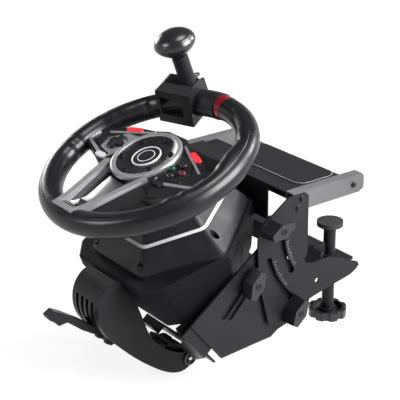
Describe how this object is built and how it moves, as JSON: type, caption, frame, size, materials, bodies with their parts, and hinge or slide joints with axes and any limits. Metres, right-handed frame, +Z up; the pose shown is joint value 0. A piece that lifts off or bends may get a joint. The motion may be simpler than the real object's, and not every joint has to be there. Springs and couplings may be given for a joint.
{
  "type": "racing wheel",
  "caption": "desk-mounted racing wheel with a spinner knob, button hub, shift paddles and a tilting clamp-on bracket",
  "frame": {"origin": "middle of the desk bracket's front cross beam, on the plane of the desk top it rests on", "axes": "+X to the driver's right, +Y away from the driver over the desk, +Z up"},
  "size_m": [0.2824, 0.4042, 0.4292],
  "materials": {
    "grip_rubber": "moulded soft-touch grip",
    "red_rubber": "smooth",
    "black_plastic": "fine spark-eroded texture",
    "gloss_black": "polished",
    "silver_plastic": "satin metallic",
    "grey_plastic": "smooth",
    "red_plastic": "polished",
    "button_green": "polished",
    "button_red": "polished",
    "black_steel": "satin black powder coat",
    "grey_steel": "satin black powder coat",
    "steel": "machined",
    "zinc": "bright zinc plate",
    "brushed_aluminium": "brushed",
    "knob_plastic": "glass-filled, semi-gloss",
    "pad_rubber": "ribbed",
    "bronze": "sintered",
    "board_green": "solder mask"
  },
  "bodies": {
    "desk_bracket": {"tray": "black_steel", "rail_left": "grey_steel", "rail_right": "grey_steel", "side_plate_left": "black_steel", "side_plate_right": "black_steel", "front_beam": "black_steel", "clamp_bridge": "black_steel", "bracket_screws": "black_steel"},
    "tilt_frame": {"tilt_plate_left": "black_steel", "tilt_plate_right": "black_steel", "cradle_bar": "black_steel"},
    "base": {"mount_plate": "black_steel", "upper_housing": "black_plastic", "lower_housing": "black_plastic", "bearing_carrier": "grey_plastic", "shaft_bearings": "steel", "motor": "steel", "drive_belt": "pad_rubber", "circuit_board": "board_green", "port_block": "black_plastic", "housing_screws": "black_steel", "clamp_arm": "black_plastic"},
    "wheel": {"rim": "grip_rubber", "rim_band": "red_rubber", "hub_frame": "black_plastic", "bezel_ring": "gloss_black", "hub_badge": "gloss_black", "hub_bolts": "black_steel", "trim_bars": "silver_plastic", "wheel_shaft": "steel", "driven_pulley": "grey_plastic", "spinner_clamp": "black_plastic"},
    "motor_rotor": {"motor_pulley": "bronze"},
    "spinner": {"spinner_knob": "gloss_black"},
    "pinch": {"pinch_screw": "zinc"},
    "dpad_rocker": {"dpad": "gloss_black"},
    "button_left_key": {"button_left": "gloss_black"},
    "button_top_key": {"button_top": "button_green"},
    "button_right_key": {"button_right": "button_red"},
    "button_bottom_key": {"button_bottom": "gloss_black"},
    "red_button_left_key": {"red_button_left": "red_plastic"},
    "red_button_right_key": {"red_button_right": "red_plastic"},
    "menu_button_left_key": {"menu_button_left": "grey_plastic"},
    "menu_button_right_key": {"menu_button_right": "gloss_black"},
    "paddle_right_lever": {"paddle_right": "brushed_aluminium"},
    "paddle_left_lever": {"paddle_left": "brushed_aluminium"},
    "pivot_knob_right_bolt": {"pivot_knob_right": "knob_plastic"},
    "angle_knob_right_bolt": {"angle_knob_right": "knob_plastic"},
    "height_knob_right_bolt": {"height_knob_right": "knob_plastic"},
    "pivot_knob_left_bolt": {"pivot_knob_left": "knob_plastic"},
    "angle_knob_left_bolt": {"angle_knob_left": "knob_plastic"},
    "height_knob_left_bolt": {"height_knob_left": "knob_plastic"},
    "desk_screw_right_body": {"desk_screw_right": "black_steel", "desk_knob_right": "knob_plastic"},
    "desk_pad_right_body": {"desk_pad_right": "pad_rubber"},
    "desk_screw_left_body": {"desk_screw_left": "black_steel", "desk_knob_left": "knob_plastic"},
    "desk_pad_left_body": {"desk_pad_left": "pad_rubber"},
    "lever": {"clamp_lever": "black_plastic"},
    "jaw": {"jaw_pad": "pad_rubber"}
  },
  "joints": [
    {"name": "bracket_tilt", "type": "hinge", "parent": "desk_bracket", "child": "tilt_frame", "pos_m": [0, -0.072, -0.008], "axis": [1, 0, 0], "range_deg": [-15, 0]},
    {"name": "height_slide", "type": "slide", "parent": "tilt_frame", "child": "base", "axis": [0, -0.7009, -0.7133], "range_m": [0, 0.045]},
    {"name": "wheel_turn", "type": "hinge", "parent": "base", "child": "wheel", "pos_m": [0, -0.17, 0.065], "axis": [0, -0.342, 0.9397], "range_deg": [-450, 450]},
    {"name": "motor_turn", "type": "hinge", "parent": "base", "child": "motor_rotor", "pos_m": [0, -0.08163, -0.04331], "axis": [0, -0.342, 0.9397], "range_deg": [-1501, 1501]},
    {"name": "spinner_turn", "type": "hinge", "parent": "wheel", "child": "spinner", "pos_m": [-0.04792, -0.08918, 0.17955], "axis": [0, -0.342, 0.9397], "continuous": true},
    {"name": "pinch_turn", "type": "hinge", "parent": "wheel", "child": "pinch", "pos_m": [-0.06364, -0.04442, 0.12135], "axis": [0, -0.342, 0.9397], "range_deg": [0, 360]},
    {"name": "dpad_rock", "type": "hinge", "parent": "wheel", "child": "dpad_rocker", "pos_m": [-0.0635, -0.17116, 0.0682], "axis": [0, 0.9397, 0.342], "range_deg": [-4, 4], "stiffness_Nm_per_rad": 0.3},
    {"name": "button_left_press", "type": "slide", "parent": "wheel", "child": "button_left_key", "axis": [0, 0.342, -0.9397], "range_m": [0, 0.0015], "stiffness_N_per_m": 700, "springref_m": -0.0005},
    {"name": "button_top_press", "type": "slide", "parent": "wheel", "child": "button_top_key", "axis": [0, 0.342, -0.9397], "range_m": [0, 0.0015], "stiffness_N_per_m": 700, "springref_m": -0.0005},
    {"name": "button_right_press", "type": "slide", "parent": "wheel", "child": "button_right_key", "axis": [0, 0.342, -0.9397], "range_m": [0, 0.0015], "stiffness_N_per_m": 700, "springref_m": -0.0005},
    {"name": "button_bottom_press", "type": "slide", "parent": "wheel", "child": "button_bottom_key", "axis": [0, 0.342, -0.9397], "range_m": [0, 0.0015], "stiffness_N_per_m": 700, "springref_m": -0.0005},
    {"name": "red_button_left_press", "type": "slide", "parent": "wheel", "child": "red_button_left_key", "axis": [0, 0.342, -0.9397], "range_m": [0, 0.0015], "stiffness_N_per_m": 700, "springref_m": -0.0005},
    {"name": "red_button_right_press", "type": "slide", "parent": "wheel", "child": "red_button_right_key", "axis": [0, 0.342, -0.9397], "range_m": [0, 0.0015], "stiffness_N_per_m": 700, "springref_m": -0.0005},
    {"name": "menu_button_left_press", "type": "slide", "parent": "wheel", "child": "menu_button_left_key", "axis": [0, 0.342, -0.9397], "range_m": [0, 0.0015], "stiffness_N_per_m": 700, "springref_m": -0.0005},
    {"name": "menu_button_right_press", "type": "slide", "parent": "wheel", "child": "menu_button_right_key", "axis": [0, 0.342, -0.9397], "range_m": [0, 0.0015], "stiffness_N_per_m": 700, "springref_m": -0.0005},
    {"name": "paddle_right_pull", "type": "hinge", "parent": "wheel", "child": "paddle_right_lever", "pos_m": [0.044, -0.16401, 0.04856], "axis": [0, -0.9397, -0.342], "range_deg": [0, 4], "stiffness_Nm_per_rad": 0.8, "springref_deg": -3.44},
    {"name": "paddle_left_pull", "type": "hinge", "parent": "wheel", "child": "paddle_left_lever", "pos_m": [-0.044, -0.16401, 0.04856], "axis": [0, 0.9397, 0.342], "range_deg": [0, 4], "stiffness_Nm_per_rad": 0.8, "springref_deg": -3.44},
    {"name": "pivot_knob_right_turn", "type": "hinge", "parent": "desk_bracket", "child": "pivot_knob_right_bolt", "pos_m": [0.125, -0.072, -0.008], "axis": [1, 0, 0], "range_deg": [0, 360]},
    {"name": "angle_knob_right_turn", "type": "hinge", "parent": "desk_bracket", "child": "angle_knob_right_bolt", "pos_m": [0.125, -0.042, -0.128], "axis": [1, 0, 0], "range_deg": [0, 360]},
    {"name": "height_knob_right_turn", "type": "hinge", "parent": "base", "child": "height_knob_right_bolt", "pos_m": [0.125, -0.107, -0.072], "axis": [1, 0, 0], "range_deg": [0, 360]},
    {"name": "pivot_knob_left_turn", "type": "hinge", "parent": "desk_bracket", "child": "pivot_knob_left_bolt", "pos_m": [-0.125, -0.072, -0.008], "axis": [-1, 0, 0], "range_deg": [0, 360]},
    {"name": "angle_knob_left_turn", "type": "hinge", "parent": "desk_bracket", "child": "angle_knob_left_bolt", "pos_m": [-0.125, -0.042, -0.128], "axis": [-1, 0, 0], "range_deg": [0, 360]},
    {"name": "height_knob_left_turn", "type": "hinge", "parent": "base", "child": "height_knob_left_bolt", "pos_m": [-0.125, -0.107, -0.072], "axis": [-1, 0, 0], "range_deg": [0, 360]},
    {"name": "clamp_lever_swing", "type": "hinge", "parent": "base", "child": "lever", "pos_m": [0, -0.24222, -0.15177], "axis": [1, 0, 0], "range_deg": [0, 60]},
    {"name": "jaw_pad_tilt", "type": "hinge", "parent": "base", "child": "jaw", "pos_m": [0, -0.13389, -0.20759], "axis": [1, 0, 0], "range_deg": [-4, 0]},
    {"name": "desk_pad_right_lift", "type": "slide", "parent": "desk_bracket", "child": "desk_pad_right_body", "axis": [0, 0, 1], "range_m": [-0.02, 0.004]},
    {"name": "desk_screw_right_turn", "type": "hinge", "parent": "desk_pad_right_body", "child": "desk_screw_right_body", "pos_m": [0.098, 0.042, -0.1], "axis": [0, 0, 1], "range_deg": [-3600, 720]},
    {"name": "desk_pad_left_lift", "type": "slide", "parent": "desk_bracket", "child": "desk_pad_left_body", "axis": [0, 0, 1], "range_m": [-0.02, 0.004]},
    {"name": "desk_screw_left_turn", "type": "hinge", "parent": "desk_pad_left_body", "child": "desk_screw_left_body", "pos_m": [-0.098, 0.042, -0.1], "axis": [0, 0, 1], "range_deg": [-3600, 720]}
  ],
  "couplings": [
    {"joint": "motor_turn", "follows": "wheel_turn", "ratio": 3.3333},
    {"joint": "desk_screw_right_turn", "follows": "desk_pad_right_lift", "rad_per_m": 3141.6},
    {"joint": "desk_screw_left_turn", "follows": "desk_pad_left_lift", "rad_per_m": 3141.6}
  ]
}
